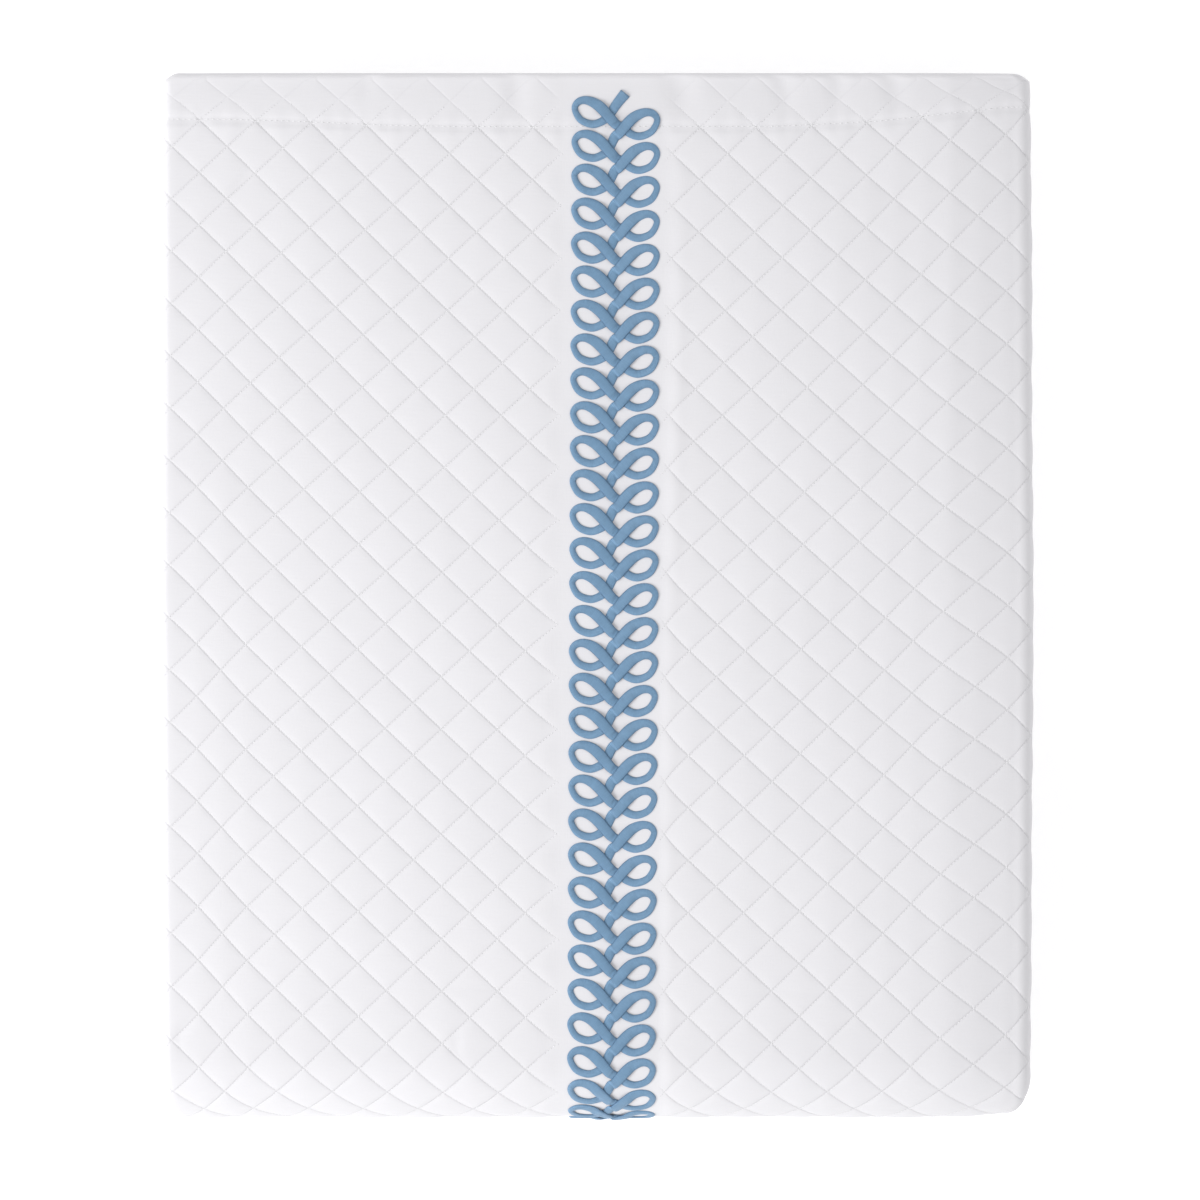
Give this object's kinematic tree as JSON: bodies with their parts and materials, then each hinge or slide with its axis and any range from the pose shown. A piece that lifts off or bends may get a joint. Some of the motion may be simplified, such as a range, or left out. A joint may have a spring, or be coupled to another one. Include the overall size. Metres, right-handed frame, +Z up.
{
  "type": "folded quilted coverlet",
  "caption": "White diamond-quilted cotton coverlet, folded into a flat rectangular pile, with a blue looped-cord embroidered border down its top.",
  "frame": {"origin": "centre of the pile's underside, on the surface it lies on", "axes": "+Z up, +Y towards the hemmed end and back folds, +X towards the right folds"},
  "size_m": [0.4355, 0.5225, 0.0691],
  "materials": {
    "white_cotton": "matte quilted cotton sateen",
    "blue_thread": "satin stitched embroidery thread"
  },
  "bodies": {
    "root": {"coverlet": "white_cotton", "loop_border": "blue_thread"}
  },
  "joints": []
}
